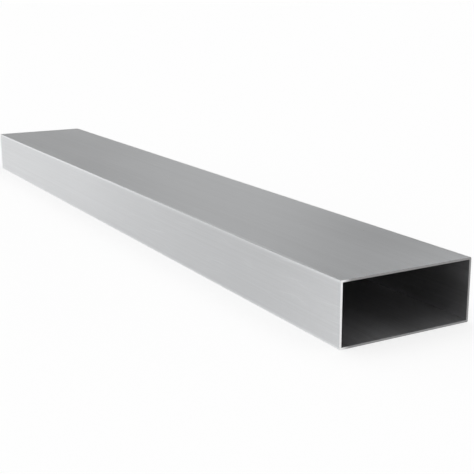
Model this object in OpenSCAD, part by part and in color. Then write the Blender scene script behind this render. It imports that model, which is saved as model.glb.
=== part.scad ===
// Rectangular aluminium tube, extruded in one piece and sawn to length.
// It lies on a broad face along the X axis. Its width runs along Y and its height along Z,
// and the origin is under its middle, on the face that it lies on.

/* [Section] */
// Outside width, across the two broad faces
tube_width = 70; // [20:1:150]
// Outside height, across the two narrow faces
tube_height = 30; // [15:1:100]
// Thickness of all four walls
wall = 1; // [0.8:0.1:4]
// Radius of the four outside corners of the section
outer_corner_r = 0.5; // [0.3:0.05:0.9]
// Radius of the four inside corners of the section
inner_corner_r = 0.3; // [0.2:0.05:1]

/* [Length] */
// Length between the two sawn ends
tube_length = 500; // [100:10:6000]

/* [Sawn ends] */
// Chamfer that deburring leaves round the outside of each sawn end
outer_edge_break = 0.15; // [0.05:0.01:0.2]
// Chamfer that deburring leaves round the mouth of the bore
mouth_edge_break = 0.2; // [0.05:0.01:0.25]

/* [Hidden] */
$fn = 48;

aluminium = [0.77, 0.78, 0.79];

bore_width = tube_width - 2 * wall;
bore_height = tube_height - 2 * wall;
end_x = tube_length / 2;
// How far the cut for the bore runs past the sawn ends
cut_overrun = 1;

// Each station is [x, growth]: at x, the section stands that much further out all round.
// The outside draws in over its chamfer at both ends.
outside_stations = [
    [-end_x, -outer_edge_break],
    [-end_x + outer_edge_break, 0],
    [end_x - outer_edge_break, 0],
    [end_x, -outer_edge_break]
];
// The bore flares over its chamfer at both ends, and the flare runs on past them.
bore_stations = [
    [-end_x - cut_overrun, mouth_edge_break + cut_overrun],
    [-end_x + mouth_edge_break, 0],
    [end_x - mouth_edge_break, 0],
    [end_x + cut_overrun, mouth_edge_break + cut_overrun]
];

// A slab that lies flat along X, with its two long edges following the stations
module slab(half_size, thickness, stations) {
    near_edge = [for (s = stations) [s.x, half_size + s.y]];
    far_edge = [for (i = [len(stations) - 1:-1:0]) [stations[i].x, -half_size - stations[i].y]];
    linear_extrude(height = thickness, center = true)
        polygon(concat(near_edge, far_edge));
}

// A round post along X, with its radius following the stations
module corner_post(radius, stations) {
    skin = [for (s = stations) [radius + s.y, s.x]];
    rotate([0, 90, 0])
        rotate_extrude()
            polygon(concat([[0, stations[0].x]], skin, [[0, stations[len(stations) - 1].x]]));
}

// A bar along X with rounded corners, which grows and shrinks all round at its stations
module rounded_bar(width, height, corner_r, stations) {
    slab(width / 2, height - 2 * corner_r, stations);
    rotate([90, 0, 0])
        slab(height / 2, width - 2 * corner_r, stations);
    for (side = [-1, 1], level = [-1, 1])
        translate([0, side * (width / 2 - corner_r), level * (height / 2 - corner_r)])
            corner_post(corner_r, stations);
}

// The whole tube: its four walls, its bore and its two deburred ends are one piece of metal
module tube() {
    color(aluminium)
        translate([0, 0, tube_height / 2])
            difference() {
                rounded_bar(tube_width, tube_height, outer_corner_r, outside_stations);
                rounded_bar(bore_width, bore_height, inner_corner_r, bore_stations);
            }
}

tube();
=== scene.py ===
"""A rectangular aluminium tube: one extrusion with streaked walls, a dull bore and sawn ends."""

import math

import bmesh
import bpy
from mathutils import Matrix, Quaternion, Vector, noise


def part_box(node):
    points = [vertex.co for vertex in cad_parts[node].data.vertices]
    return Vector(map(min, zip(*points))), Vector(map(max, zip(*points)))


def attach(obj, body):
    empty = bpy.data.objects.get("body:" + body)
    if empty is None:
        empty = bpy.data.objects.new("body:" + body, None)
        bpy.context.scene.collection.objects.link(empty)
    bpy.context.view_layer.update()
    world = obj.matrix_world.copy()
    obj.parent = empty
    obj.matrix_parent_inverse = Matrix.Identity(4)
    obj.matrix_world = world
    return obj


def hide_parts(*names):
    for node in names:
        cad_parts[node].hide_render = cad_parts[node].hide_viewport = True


bl_info = {
    "name": "Rectangular Aluminium Tube",
    "version": (1, 0, 0),
    "blender": (4, 5, 0),
    "location": "3D View > Sidebar > Tube",
    "description": "Models, finishes and lights one length of rectangular aluminium tube",
    "category": "Object",
}

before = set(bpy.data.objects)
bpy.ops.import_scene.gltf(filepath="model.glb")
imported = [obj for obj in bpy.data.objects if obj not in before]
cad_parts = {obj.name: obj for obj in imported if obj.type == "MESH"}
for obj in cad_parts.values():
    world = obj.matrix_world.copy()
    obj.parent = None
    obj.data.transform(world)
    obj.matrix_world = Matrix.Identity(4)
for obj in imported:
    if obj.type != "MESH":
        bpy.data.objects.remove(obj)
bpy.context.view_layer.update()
TUBE_LOW, TUBE_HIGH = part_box("tube")
TUBE_SIZE = TUBE_HIGH - TUBE_LOW

MM = 0.001
# How near two coordinates are when they count as the same place
SAME_PLACE = 0.001 * MM
# Flat steps round each long corner, and across each deburring chamfer
CORNER_STEPS = 10
CHAMFER_STEPS = 3
# Distance between the points of a rim that the deburring tool can stray at, and how often it does
# along a metre of rim
RIM_STEP = 2 * MM
WAVERS_PER_METRE = 90
# How far the rubbed shine, with the painted highlight lightened into it, reaches in from a long
# corner
RUBBED_AND_HIGHLIGHT_REACH = 1.5 * MM
# Share of the Voronoi cells that hold a handling scratch
SCRATCHED_SHARE = 0.015
# Slant to the tube and length of the two layers of scratches, and the width of all of them
SCRATCH_LAYERS = ((0.09, 35 * MM), (-0.16, 22 * MM))
SCRATCH_WIDTH = 0.3 * MM
# Middle of the saw blade's arcs, from the middle of the tube's underside
BLADE_MIDDLE = (0, 20 * MM, -130 * MM)
# How far past the -Y wall its painted highlight fades out
WALL_HIGHLIGHT_REACH = 4 * MM
# Width of the pale floor in metres, and the share of white that it shows by itself
FLOOR_WIDTH = 400
FLOOR_GLOW = 0.7
# Each row of light is a set of stops of height and share. A height is the upward part of a
# direction of length 1. Below the horizon's stops all is white. The ceiling's shares are of its
# own brightness.
HORIZON_ROW = ((0.08, 0), (0.14, 1))
LOWER_ROW = ((0.25, 1), (0.5, 0))
UPPER_ROW = ((0.25, 0), (0.5, 1), (0.75, 0))
CEILING_ROW = ((0.5, 0), (0.75, 0.5), (0.9, 1), (1, 0.2))
# Brightness of the two belts of lit walls at degrees round from -X by way of -Y
LOWER_TONES = (
    (0, 0.18), (9, 0.5), (14, 1.3), (18, 2.2), (22, 0.4), (26, 0.03), (34, 0.03),
    (38, 1.15), (44, 3.0), (55, 2.1), (75, 1.7), (110, 1.0), (300, 1.0), (316, 0.05),
    (322, 0.05), (328, 1.1), (334, 0.95), (340, 0.33), (348, 0.2), (360, 0.18))
UPPER_TONES = (
    (0, 1.0), (14, 1.0), (18, 0.03), (44, 0.03), (55, 0.3),
    (300, 0.3), (316, 0.1), (322, 0.03), (348, 0.03), (360, 1.0))


class TubeSizes(bpy.types.PropertyGroup):
    """Sizes of the extrusion and of its sawn ends."""

    length: bpy.props.FloatProperty(
        name="Length", description="Length between the two sawn ends",
        default=TUBE_SIZE.x, unit="LENGTH", subtype="DISTANCE")
    width: bpy.props.FloatProperty(
        name="Width", description="Outside width across the broad faces",
        default=TUBE_SIZE.y, unit="LENGTH", subtype="DISTANCE")
    height: bpy.props.FloatProperty(
        name="Height", description="Outside height across the narrow faces",
        default=TUBE_SIZE.z, unit="LENGTH", subtype="DISTANCE")
    wall: bpy.props.FloatProperty(
        name="Wall", description="Thickness of all four walls",
        default=1.0 * MM, precision=5, unit="LENGTH", subtype="DISTANCE")
    outer_corner_r: bpy.props.FloatProperty(
        name="Outer corner", description="Radius of the outside corners of the section",
        default=0.5 * MM, precision=5, unit="LENGTH", subtype="DISTANCE")
    inner_corner_r: bpy.props.FloatProperty(
        name="Inner corner", description="Radius of the inside corners of the section",
        default=0.3 * MM, precision=5, unit="LENGTH", subtype="DISTANCE")
    outer_edge_break: bpy.props.FloatProperty(
        name="Outer edge break", description="Deburring chamfer round the outside of each sawn end",
        default=0.15 * MM, precision=6, unit="LENGTH", subtype="DISTANCE")
    mouth_edge_break: bpy.props.FloatProperty(
        name="Mouth edge break", description="Deburring chamfer round the mouth of the bore",
        default=0.2 * MM, precision=6, unit="LENGTH", subtype="DISTANCE")
    hand_waver: bpy.props.FloatProperty(
        name="Hand waver", description="How far the hand-held deburring tool strays to each side",
        default=0.03 * MM, precision=6, unit="LENGTH", subtype="DISTANCE")


class TubeFinish(bpy.types.PropertyGroup):
    """Colours and gloss of the metal."""

    metal: bpy.props.FloatVectorProperty(
        name="Metal", description="Colour of the outside of the extrusion",
        default=(0.72, 0.73, 0.74), subtype="COLOR", min=0, max=1)
    # Darker than the outside metal: partly a duller skin, partly painted shade inside the bore.
    shaded_bore_metal: bpy.props.FloatVectorProperty(
        name="Bore metal", description="Colour of the dull skin inside the bore",
        default=(0.49, 0.49, 0.50), subtype="COLOR", min=0, max=1)
    # Darker than freshly sawn aluminium: painted shade on the sawn faces.
    shaded_cut_metal: bpy.props.FloatVectorProperty(
        name="Cut metal", description="Colour of the torn metal of the sawn faces",
        default=(0.30, 0.30, 0.30), subtype="COLOR", min=0, max=1)
    deburred_metal: bpy.props.FloatVectorProperty(
        name="Deburred metal", description="Colour of the freshly cut chamfers round the rims",
        default=(0.32, 0.32, 0.32), subtype="COLOR", min=0, max=1)
    roughness: bpy.props.FloatProperty(
        name="Roughness", description="Mean roughness of the outside",
        default=0.40, min=0, max=1)
    bore_roughness: bpy.props.FloatProperty(
        name="Bore roughness", description="Mean roughness of the inside of the bore",
        default=0.5, min=0, max=1)


class StageSettings(bpy.types.PropertyGroup):
    """Floor, light and camera."""

    floor_colour: bpy.props.FloatVectorProperty(
        name="Floor", description="Colour of the pale floor",
        default=(0.98, 0.98, 0.98), subtype="COLOR", min=0, max=1)
    ceiling: bpy.props.FloatProperty(
        name="Ceiling", description="Brightness of the soft light overhead",
        default=2.0, min=0)
    camera_azimuth: bpy.props.FloatProperty(
        name="Azimuth", description="Direction that the camera looks in, from +Y towards -X",
        default=math.radians(60.703), subtype="ANGLE")
    camera_elevation: bpy.props.FloatProperty(
        name="Elevation", description="How far the camera looks down from level",
        default=math.radians(14.245), subtype="ANGLE")
    camera_roll: bpy.props.FloatProperty(
        name="Roll", description="How far the camera leans to the right",
        default=math.radians(0.305), subtype="ANGLE")
    camera_place: bpy.props.FloatVectorProperty(
        name="Camera", description="Place of the camera",
        default=(0.54067, -0.24603, 0.13893), unit="LENGTH", subtype="TRANSLATION")
    camera_lens: bpy.props.FloatProperty(
        name="Lens", description="Focal length of the lens in millimetres",
        default=70.29, min=1)


# Modelling


def deselect_all():
    """Leaves no object selected, because a loaded frame is selected all over."""
    bpy.ops.object.select_all(action="DESELECT")


def make_active(piece):
    """Selects one piece alone and makes it the active one."""
    deselect_all()
    piece.select_set(True)
    bpy.context.view_layer.objects.active = piece


def select_in_edit_mode(piece, elements, wanted):
    """In edit mode, selects only the verts, edges or faces that are wanted."""
    mesh = bmesh.from_edit_mesh(piece.data)
    for kind in (mesh.faces, mesh.edges, mesh.verts):
        for element in kind:
            element.select = False
    for element in getattr(mesh, elements):
        if wanted(element):
            element.select_set(True)
    bmesh.update_edit_mesh(piece.data)


def add_bar(name, length, width, height, middle):
    """A plain bar along X, as a primitive at its size and place."""
    deselect_all()
    bpy.ops.mesh.primitive_cube_add(size=1, location=middle)
    bar = bpy.context.object
    bar.name = name
    bar.scale = (length, width, height)
    bpy.ops.object.transform_apply(location=True, rotation=True, scale=True)
    return bar


def round_long_edges(bar, radius):
    """Rounds the four edges that run the whole length of a bar."""
    make_active(bar)
    bpy.ops.object.mode_set(mode="EDIT")
    bpy.ops.mesh.select_mode(type="EDGE")

    def runs_along(edge):
        ends = [vert.co for vert in edge.verts]
        return abs(ends[0].x - ends[1].x) > SAME_PLACE

    select_in_edit_mode(bar, "edges", runs_along)
    bpy.ops.mesh.bevel(offset=radius, segments=CORNER_STEPS, profile=0.5, affect="EDGES")
    bpy.ops.object.mode_set(mode="OBJECT")


def open_both_ends(bar):
    """Takes away the two end faces of a bar, which leaves a sleeve with no thickness."""
    make_active(bar)
    bpy.ops.object.mode_set(mode="EDIT")
    bpy.ops.mesh.select_mode(type="FACE")
    select_in_edit_mode(bar, "faces", lambda face: abs(face.normal.x) > 0.9)
    bpy.ops.mesh.delete(type="ONLY_FACE")
    bpy.ops.object.mode_set(mode="OBJECT")


def turn_inside_out(bar):
    """Makes the faces of a sleeve look inwards, as the walls of a bore do."""
    make_active(bar)
    bpy.ops.object.mode_set(mode="EDIT")
    bpy.ops.mesh.select_all(action="SELECT")
    bpy.ops.mesh.flip_normals()
    bpy.ops.object.mode_set(mode="OBJECT")


def bridge_sawn_ends(tube, end_x):
    """Closes the metal between the outer sleeve and the bore at both ends."""

    def open_at(place):
        return lambda edge: edge.is_boundary and all(
            abs(vert.co.x - place) < SAME_PLACE for vert in edge.verts)

    make_active(tube)
    bpy.ops.object.mode_set(mode="EDIT")
    bpy.ops.mesh.select_mode(type="EDGE")
    for place in (-end_x, end_x):
        select_in_edit_mode(tube, "edges", open_at(place))
        bpy.ops.mesh.bridge_edge_loops()
    bpy.ops.object.mode_set(mode="OBJECT")


def cut_across(tube, axis, middle, reach):
    """Cuts all the faces by planes square to one axis, so that the rims have points to waver at."""
    count = int(reach / RIM_STEP)
    make_active(tube)
    bpy.ops.object.mode_set(mode="EDIT")
    for index in range(-count, count + 1):
        bpy.ops.mesh.select_all(action="SELECT")
        bpy.ops.mesh.bisect(plane_co=middle + axis * index * RIM_STEP, plane_no=axis)
    bpy.ops.object.mode_set(mode="OBJECT")


def rim_break(edge, sizes):
    """How much is taken off an edge: the size of its chamfer on a rim, otherwise nothing."""
    end_x = sizes.length / 2
    if any(abs(abs(vert.co.x) - end_x) > SAME_PLACE for vert in edge.verts):
        return 0.0
    normals = [face.normal for face in edge.link_faces]
    if len(normals) != 2 or abs(normals[0].dot(normals[1])) > 0.5:
        return 0.0
    wall_normal = min(normals, key=lambda normal: abs(normal.x))
    outwards = Vector((0, edge.verts[0].co.y, edge.verts[0].co.z - sizes.height / 2))
    return sizes.outer_edge_break if wall_normal.dot(outwards) > 0 else sizes.mouth_edge_break


def break_rims(tube, sizes):
    """Takes the sharp edges off both sawn ends, a little unevenly, as a hand-held tool does."""
    widest = sizes.mouth_edge_break + sizes.hand_waver
    make_active(tube)
    bpy.ops.object.mode_set(mode="EDIT")
    mesh = bmesh.from_edit_mesh(tube.data)
    weights = mesh.edges.layers.float.new("bevel_weight_edge")
    for edge in mesh.edges:
        size = rim_break(edge, sizes)
        if size:
            stray = noise.noise(edge.verts[0].co * WAVERS_PER_METRE) * sizes.hand_waver
            edge[weights] = (size + stray) / widest
    bmesh.update_edit_mesh(tube.data)
    bpy.ops.object.mode_set(mode="OBJECT")
    modifier = tube.modifiers.new("broken_rims", "BEVEL")
    modifier.limit_method = "WEIGHT"
    modifier.width = widest
    modifier.segments = CHAMFER_STEPS
    modifier.use_clamp_overlap = False
    bpy.ops.object.modifier_apply(modifier=modifier.name)


def model_tube(sizes):
    """The whole tube: outer sleeve, bore, sawn ends and broken rims, as one closed mesh."""
    middle = Vector((0, 0, sizes.height / 2))
    end_x = sizes.length / 2
    tube = add_bar("extruded_tube", sizes.length, sizes.width, sizes.height, middle)
    round_long_edges(tube, sizes.outer_corner_r)
    bore = add_bar(
        "bore", sizes.length, sizes.width - 2 * sizes.wall, sizes.height - 2 * sizes.wall, middle)
    round_long_edges(bore, sizes.inner_corner_r)
    for bar in (tube, bore):
        open_both_ends(bar)
    turn_inside_out(bore)

    make_active(tube)
    bore.select_set(True)
    bpy.ops.object.join()
    bridge_sawn_ends(tube, end_x)

    for axis, size in ((Vector((0, 1, 0)), sizes.width), (Vector((0, 0, 1)), sizes.height)):
        cut_across(tube, axis, middle, size / 2 - sizes.wall - sizes.inner_corner_r)
    break_rims(tube, sizes)
    return tube


# Materials


def add_node(tree, kind, inputs=None, **settings):
    """Adds a shader node. An input is either a plain value or the output socket that feeds it."""
    node = tree.nodes.new(kind)
    for name, value in settings.items():
        setattr(node, name, value)
    for name, value in (inputs or {}).items():
        if isinstance(value, bpy.types.NodeSocket):
            tree.links.new(value, node.inputs[name])
        else:
            node.inputs[name].default_value = value
    return node


def new_material(name):
    """An empty node material with its output, and the tree that it is drawn in."""
    material = bpy.data.materials.new(name)
    material.use_nodes = True
    tree = material.node_tree
    tree.nodes.clear()
    return material, tree


def finish_material(tree, shader):
    """Joins a shader to the material's output."""
    add_node(tree, "ShaderNodeOutputMaterial", {"Surface": shader.outputs[0]})


def spread(tree, value, low, high, to_low=-1.0, to_high=1.0):
    """Stretches a value from between low and high to another range, and holds it there."""
    node = add_node(tree, "ShaderNodeMapRange", {
        "Value": value, "From Min": low, "From Max": high, "To Min": to_low, "To Max": to_high})
    return node.outputs["Result"]


def marks(tree, place, size, detail=2.0):
    """Noise from -1 to 1 in marks of about the given length, width and height in metres."""
    scaled = add_node(
        tree, "ShaderNodeMapping", {"Vector": place, "Scale": size}, vector_type="TEXTURE")
    texture = add_node(tree, "ShaderNodeTexNoise", {
        "Vector": scaled.outputs["Vector"], "Scale": 1.0, "Detail": detail})
    return spread(tree, texture.outputs["Fac"], 0.3, 0.7)


def math_node(tree, operation, first, second, clamp=False):
    """One sum of two numbers or sockets."""
    node = add_node(
        tree, "ShaderNodeMath", {0: first, 1: second}, operation=operation, use_clamp=clamp)
    return node.outputs[0]


def weighted_sum(tree, start, *parts):
    """A number plus each socket times its own weight."""
    total = start
    for value, weight in parts:
        node = add_node(
            tree, "ShaderNodeMath", {0: value, 1: weight, 2: total}, operation="MULTIPLY_ADD")
        total = node.outputs[0]
    return total


def shade_colour(tree, colour, *parts):
    """A colour made lighter or darker by each socket times its own weight."""
    factor = weighted_sum(tree, 1.0, *parts)
    scaled = add_node(tree, "ShaderNodeVectorMath", {0: colour, "Scale": factor}, operation="SCALE")
    return scaled.outputs["Vector"]


def bumps(tree, height, depth):
    """The normal of a surface whose height socket stands for a depth in metres."""
    bump = add_node(tree, "ShaderNodeBump", {"Strength": 1.0, "Distance": depth, "Height": height})
    return bump.outputs["Normal"]


def handling_scratches(tree, place):
    """A few hairline scratches at two slants to the tube: 1 on a scratch and 0 elsewhere."""
    parts = add_node(tree, "ShaderNodeSeparateXYZ", {"Vector": place}).outputs
    unrolled = add_node(tree, "ShaderNodeCombineXYZ", {
        "X": parts["X"], "Y": math_node(tree, "ADD", parts["Y"], parts["Z"])}).outputs["Vector"]
    layers = []
    for slant, length in SCRATCH_LAYERS:
        stretched = add_node(tree, "ShaderNodeMapping", {
            "Vector": unrolled, "Rotation": (0, 0, slant), "Scale": (length, SCRATCH_WIDTH, 1)},
            vector_type="TEXTURE")
        cells = add_node(tree, "ShaderNodeTexVoronoi", {
            "Vector": stretched.outputs["Vector"], "Scale": 1.0}, voronoi_dimensions="2D")
        line = spread(tree, cells.outputs["Distance"], 0.1, 0.4, 1.0, 0.0)
        chance = add_node(
            tree, "ShaderNodeSeparateColor", {"Color": cells.outputs["Color"]}).outputs["Red"]
        scratched = math_node(tree, "GREATER_THAN", chance, 1 - SCRATCHED_SHARE)
        layers.append(math_node(tree, "MULTIPLY", line, scratched))
    return math_node(tree, "MAXIMUM", *layers)


def rubbed_and_highlight_corners(tree, place, sizes):
    """1 on the four long corners, fading to 0 a little way in on the flat faces: rubbed shine in
    the roughness, and a painted highlight where it lightens the colour.
    """
    parts = add_node(tree, "ShaderNodeSeparateXYZ", {"Vector": place}).outputs
    half_width, half_height = sizes.width / 2, sizes.height / 2
    upwards = weighted_sum(tree, -half_height, (parts["Z"], 1.0))
    shares = []
    for value, half in ((parts["Y"], half_width), (upwards, half_height)):
        reach = math_node(tree, "ABSOLUTE", value, 0.0)
        shares.append(spread(tree, reach, half - RUBBED_AND_HIGHLIGHT_REACH, half, 0.0, 1.0))
    return math_node(tree, "MULTIPLY", *shares)


def streaked_metal(sizes, finish):
    """The outside: streaks along the tube, cloudy bands, rubbed corners lightened as a painted
    highlight, and faint scratches.
    """
    material, tree = new_material("streaked_aluminium")
    place = add_node(tree, "ShaderNodeTexCoord").outputs["Object"]
    fine = marks(tree, place, (0.11, 0.0004, 0.0004))
    broad = marks(tree, place, (0.3, 0.0024, 0.0024))
    clouds = marks(tree, place, (0.14, 0.035, 0.035), detail=3.0)
    scratches = handling_scratches(tree, place)
    corners = rubbed_and_highlight_corners(tree, place, sizes)
    height = weighted_sum(tree, 0.0, (fine, 0.6), (broad, 0.4), (scratches, -2.0))
    round_the_tube = add_node(tree, "ShaderNodeTangent", direction_type="RADIAL", axis="X")
    shader = add_node(tree, "ShaderNodeBsdfPrincipled", {
        # The corners' lighter colour is a painted highlight along the long edges; their lower
        # roughness is the rubbed shine.
        "Base Color": shade_colour(
            tree, tuple(finish.metal),
            (fine, 0.035), (broad, 0.025), (clouds, 0.015), (corners, 0.2), (scratches, 0.1)),
        "Metallic": 1.0,
        "Roughness": weighted_sum(
            tree, finish.roughness,
            (fine, 0.02), (broad, 0.02), (clouds, 0.02), (corners, -0.12), (scratches, -0.1)),
        "Anisotropic": 1.0,
        "Tangent": round_the_tube.outputs["Tangent"],
        "Normal": bumps(tree, height, 0.004 * MM)})
    finish_material(tree, shader)
    return material


def dull_shaded_metal(finish):
    """The bore: the same metal with a duller skin and coarser die lines, in a darker colour that is
    partly painted shade.
    """
    material, tree = new_material("dull_bore_aluminium")
    place = add_node(tree, "ShaderNodeTexCoord").outputs["Object"]
    lines = marks(tree, place, (0.5, 0.0011, 0.0011))
    clouds = marks(tree, place, (0.08, 0.025, 0.025), detail=3.0)
    shader = add_node(tree, "ShaderNodeBsdfPrincipled", {
        "Base Color": shade_colour(tree, tuple(finish.shaded_bore_metal), (lines, 0.05), (clouds, 0.06)),
        "Metallic": 1.0,
        "Roughness": weighted_sum(tree, finish.bore_roughness, (lines, 0.03), (clouds, 0.05)),
        "Normal": bumps(tree, lines, 0.015 * MM)})
    finish_material(tree, shader)
    return material


def painted_highlight_wall(tree, place, sizes):
    """1 on the upright wall of a sawn end at -Y, fading to 0 beside it: a painted highlight on that
    wall's end.
    """
    across = add_node(tree, "ShaderNodeSeparateXYZ", {"Vector": place}).outputs["Y"]
    inside = -sizes.width / 2 + sizes.wall
    return spread(tree, across, inside, inside + WALL_HIGHLIGHT_REACH, 1.0, 0.0)


def sawn_metal(sizes, finish):
    """The sawn faces: fine arcs of a round blade, in a dark colour that is painted shade, lightened
    on the -Y wall as a painted highlight.
    """
    material, tree = new_material("sawn_aluminium")
    place = add_node(tree, "ShaderNodeTexCoord").outputs["Object"]
    from_blade = add_node(
        tree, "ShaderNodeMapping", {"Vector": place, "Location": BLADE_MIDDLE},
        vector_type="TEXTURE")
    arcs = add_node(tree, "ShaderNodeTexWave", {
        "Vector": from_blade.outputs["Vector"],
        "Scale": 900.0, "Distortion": 2.5, "Detail": 2.0, "Detail Scale": 0.7},
        wave_type="RINGS", rings_direction="X")
    cuts = spread(tree, arcs.outputs["Fac"], 0.0, 1.0)
    smears = marks(tree, place, (0.01, 0.006, 0.003), detail=3.0)
    wall_highlight = painted_highlight_wall(tree, place, sizes)
    shader = add_node(tree, "ShaderNodeBsdfPrincipled", {
        # The -Y wall is lightened here as a painted highlight.
        "Base Color": shade_colour(
            tree, tuple(finish.shaded_cut_metal), (cuts, 0.05), (smears, 0.06), (wall_highlight, 2.0)),
        "Metallic": 1.0,
        "Roughness": weighted_sum(tree, 0.5, (cuts, 0.05), (smears, 0.06)),
        "Normal": bumps(tree, cuts, 0.012 * MM)})
    finish_material(tree, shader)
    return material


def deburred_metal(sizes, finish):
    """The broken rims: smooth, with the tool's short chatter, lightened on the -Y wall as a painted
    highlight.
    """
    material, tree = new_material("deburred_aluminium")
    place = add_node(tree, "ShaderNodeTexCoord").outputs["Object"]
    chatter = marks(tree, place, (0.0006, 0.0006, 0.0006))
    wall_highlight = painted_highlight_wall(tree, place, sizes)
    shader = add_node(tree, "ShaderNodeBsdfPrincipled", {
        # The -Y wall is lightened here as a painted highlight.
        "Base Color": shade_colour(
            tree, tuple(finish.deburred_metal), (chatter, 0.06), (wall_highlight, 1.6)),
        "Metallic": 1.0,
        "Roughness": weighted_sum(tree, 0.32, (chatter, 0.06)),
        "Normal": bumps(tree, chatter, 0.010 * MM)})
    finish_material(tree, shader)
    return material


def give_finish(tube, sizes, finish):
    """Gives each face of the tube its finish by where it lies and which way it looks."""
    finishes = (
        streaked_metal(sizes, finish), dull_shaded_metal(finish),
        sawn_metal(sizes, finish), deburred_metal(sizes, finish))
    for material in finishes:
        tube.data.materials.append(material)
    outside, bore, sawn, deburred = range(4)
    middle = Vector((0, 0, sizes.height / 2))
    end_x = sizes.length / 2
    for face in tube.data.polygons:
        outwards = Vector((0, face.center.y, face.center.z - middle.z))
        if abs(face.normal.x) > 0.999:
            face.material_index = sawn
        elif abs(face.center.x) > end_x - sizes.mouth_edge_break:
            face.material_index = deburred
        elif face.normal.dot(outwards) > 0:
            face.material_index = outside
        else:
            face.material_index = bore


def smooth_curves(tube):
    """Smooths the rounded corners and keeps the flat faces flat."""
    make_active(tube)
    bpy.ops.object.shade_smooth_by_angle(angle=math.radians(40))
    modifier = tube.modifiers.new("flat_faces", "WEIGHTED_NORMAL")
    modifier.weight = 100
    modifier.keep_sharp = True
    bpy.ops.object.modifier_apply(modifier=modifier.name)


# Stage


def add_floor(settings):
    """A wide pale floor at the height that the tube lies at."""
    deselect_all()
    bpy.ops.mesh.primitive_plane_add(size=FLOOR_WIDTH, location=(0, 0, 0))
    floor = bpy.context.object
    floor.name = "pale_floor"
    material, tree = new_material("pale_floor")
    rays = add_node(tree, "ShaderNodeLightPath").outputs
    seen = math_node(tree, "ADD", rays["Is Camera Ray"], rays["Is Glossy Ray"], clamp=True)
    seen = math_node(tree, "ADD", seen, rays["Is Transmission Ray"], clamp=True)
    paint = add_node(tree, "ShaderNodeBsdfDiffuse", {"Color": (*settings.floor_colour, 1)})
    glow = add_node(tree, "ShaderNodeEmission", {"Color": (1, 1, 1, 1), "Strength": 1.0})
    share = math_node(tree, "MULTIPLY", seen, FLOOR_GLOW)
    mixed = add_node(tree, "ShaderNodeMixShader", {
        0: share, 1: paint.outputs[0], 2: glow.outputs[0]})
    finish_material(tree, mixed)
    floor.data.materials.append(material)


def add_ramp(tree, value, stops):
    """Greys that run from stop to stop, each stop a place from 0 to 1 and a brightness."""
    node = add_node(tree, "ShaderNodeValToRGB", {"Fac": value})
    elements = node.color_ramp.elements
    while len(elements) < len(stops):
        elements.new(1.0)
    for element, (place, brightness) in zip(elements, stops):
        element.position = place
        element.color = (brightness, brightness, brightness, 1)
    return node.outputs["Color"]


def mix_numbers(tree, share, first, second):
    """A blend of two numbers: all first at a share of 0, all second at 1."""
    node = add_node(tree, "ShaderNodeMix", {"Factor": share, "A": first, "B": second})
    return node.outputs["Result"]


def light_world(settings):
    """Two belts of lit walls, a bright ceiling, and a white horizon that the floor runs into."""
    world = bpy.data.worlds.new("studio")
    bpy.context.scene.world = world
    world.use_nodes = True
    tree = world.node_tree
    tree.nodes.clear()
    direction = add_node(tree, "ShaderNodeTexCoord").outputs["Generated"]
    height = add_node(tree, "ShaderNodeSeparateXYZ", {"Vector": direction}).outputs["Z"]
    turn = add_node(
        tree, "ShaderNodeTexGradient", {"Vector": direction}, gradient_type="RADIAL").outputs["Fac"]

    belts = []
    for tones, row in ((LOWER_TONES, LOWER_ROW), (UPPER_TONES, UPPER_ROW)):
        walls = add_ramp(tree, turn, [(degrees / 360, tone) for degrees, tone in tones])
        belts.append((walls, add_ramp(tree, height, row)))
    overhead = add_ramp(
        tree, height, [(place, share * settings.ceiling) for place, share in CEILING_ROW])
    above_horizon = add_ramp(tree, height, HORIZON_ROW)
    light = mix_numbers(tree, above_horizon, 1.0, weighted_sum(tree, overhead, *belts))
    background = add_node(
        tree, "ShaderNodeBackground", {"Color": (1, 1, 1, 1), "Strength": light})
    add_node(tree, "ShaderNodeOutputWorld", {"Surface": background.outputs[0]})


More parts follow.
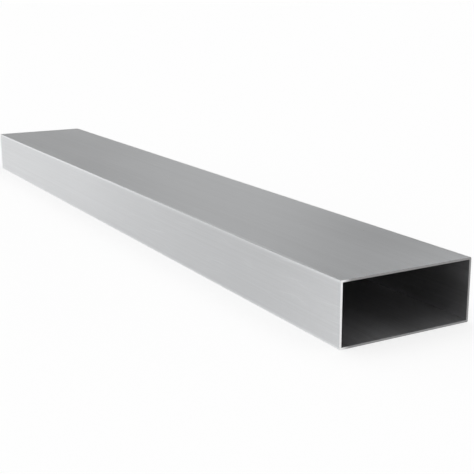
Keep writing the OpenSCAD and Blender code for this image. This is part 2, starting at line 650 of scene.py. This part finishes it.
def add_camera(settings):
    """The camera at the place and angle of the photograph."""
    azimuth, elevation = settings.camera_azimuth, settings.camera_elevation
    direction = Vector((
        -math.sin(azimuth) * math.cos(elevation),
        math.cos(azimuth) * math.cos(elevation),
        -math.sin(elevation)))
    camera = bpy.data.objects.new("camera", bpy.data.cameras.new("camera"))
    bpy.context.collection.objects.link(camera)
    camera.location = settings.camera_place
    lean = Quaternion((0, 0, 1), -settings.camera_roll)
    camera.rotation_euler = (direction.to_track_quat("-Z", "Y") @ lean).to_euler()
    camera.data.lens = settings.camera_lens
    camera.data.sensor_width = 36
    camera.data.clip_start = 10 * MM
    camera.data.clip_end = 1000
    bpy.context.scene.camera = camera


class TUBE_OT_model(bpy.types.Operator):
    """Model the extruded tube and give it its finishes"""

    bl_idname = "tube.model_tube"
    bl_label = "Model Tube"

    def execute(self, context):
        sizes = context.scene.tube_sizes
        tube = model_tube(sizes)
        give_finish(tube, sizes, context.scene.tube_finish)
        smooth_curves(tube)
        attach(tube, "root")
        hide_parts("tube")
        return {"FINISHED"}


class TUBE_OT_stage(bpy.types.Operator):
    """Set out the floor, the light and the camera"""

    bl_idname = "tube.set_stage"
    bl_label = "Set Stage"

    def execute(self, context):
        settings = context.scene.tube_stage
        add_floor(settings)
        light_world(settings)
        add_camera(settings)
        context.scene.view_settings.view_transform = "Standard"
        return {"FINISHED"}


class VIEW3D_PT_tube(bpy.types.Panel):
    """The tube's operators and sizes"""

    bl_idname = "VIEW3D_PT_tube"
    bl_label = "Rectangular Tube"
    bl_space_type = "VIEW_3D"
    bl_region_type = "UI"
    bl_category = "Tube"

    def draw(self, context):
        scene = context.scene
        for group in (scene.tube_sizes, scene.tube_finish, scene.tube_stage):
            column = self.layout.column(align=True)
            for name in group.__annotations__:
                column.prop(group, name)
        for operator in (TUBE_OT_model, TUBE_OT_stage):
            self.layout.operator(operator.bl_idname)


CLASSES = (TubeSizes, TubeFinish, StageSettings, TUBE_OT_model, TUBE_OT_stage, VIEW3D_PT_tube)


def register():
    for item in CLASSES:
        bpy.utils.register_class(item)
    bpy.types.Scene.tube_sizes = bpy.props.PointerProperty(type=TubeSizes)
    bpy.types.Scene.tube_finish = bpy.props.PointerProperty(type=TubeFinish)
    bpy.types.Scene.tube_stage = bpy.props.PointerProperty(type=StageSettings)


def unregister():
    del bpy.types.Scene.tube_stage
    del bpy.types.Scene.tube_finish
    del bpy.types.Scene.tube_sizes
    for item in reversed(CLASSES):
        bpy.utils.unregister_class(item)


def main():
    register()
    bpy.ops.tube.model_tube()
    bpy.ops.tube.set_stage()


if __name__ == "__main__":
    main()
